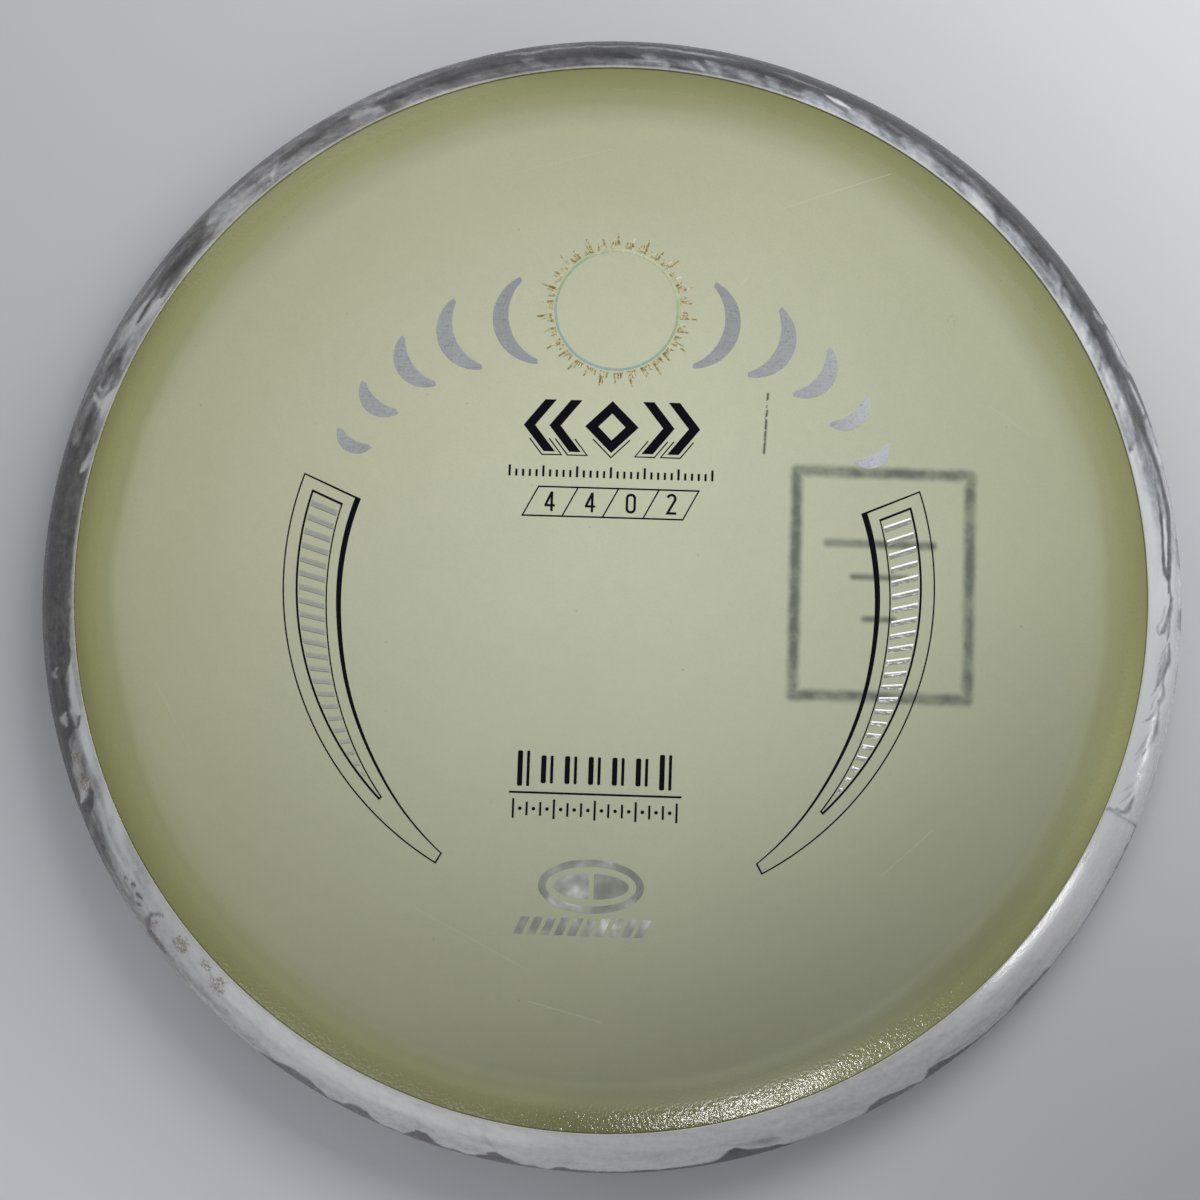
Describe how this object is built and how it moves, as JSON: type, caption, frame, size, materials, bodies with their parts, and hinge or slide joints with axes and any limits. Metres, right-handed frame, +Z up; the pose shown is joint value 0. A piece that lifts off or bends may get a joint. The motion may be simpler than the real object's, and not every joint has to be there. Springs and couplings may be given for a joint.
{
  "type": "flying disc",
  "caption": "Domed two-shot flying disc for target games: pale translucent core, marbled overmoulded rim, hot-stamped foil marks on top and a marker name box underneath.",
  "frame": {"origin": "centre of the flat face the disc rests on", "axes": "+Z up through the domed side, +Y towards the top of the printed artwork, +X to its right"},
  "size_m": [0.217, 0.217, 0.019],
  "materials": {
    "core_plastic": "translucent pale green glow plastic, fine grain, satin",
    "rim_plastic": "marbled white, grey and slate, semi-gloss with scuffs",
    "gold_foil": "holographic gold hot-stamp foil",
    "silver_foil": "satin silver hot-stamp foil",
    "black_foil": "gloss black hot-stamp foil",
    "marker_ink": "permanent marker ink, slightly uneven"
  },
  "bodies": {
    "root": {"core": "core_plastic", "overmould_rim": "rim_plastic", "ring_foil": "gold_foil", "arc_marks_right_foil": "silver_foil", "arc_marks_left_foil": "silver_foil", "title_foil": "black_foil", "scale_row_foil": "black_foil", "rating_cells_foil": "black_foil", "label_foil": "black_foil", "emblem_foil": "silver_foil", "gauge_right_foil": "black_foil", "gauge_left_foil": "black_foil", "rungs_right_foil": "silver_foil", "rungs_left_foil": "silver_foil", "name_box_ink": "marker_ink"}
  },
  "joints": []
}
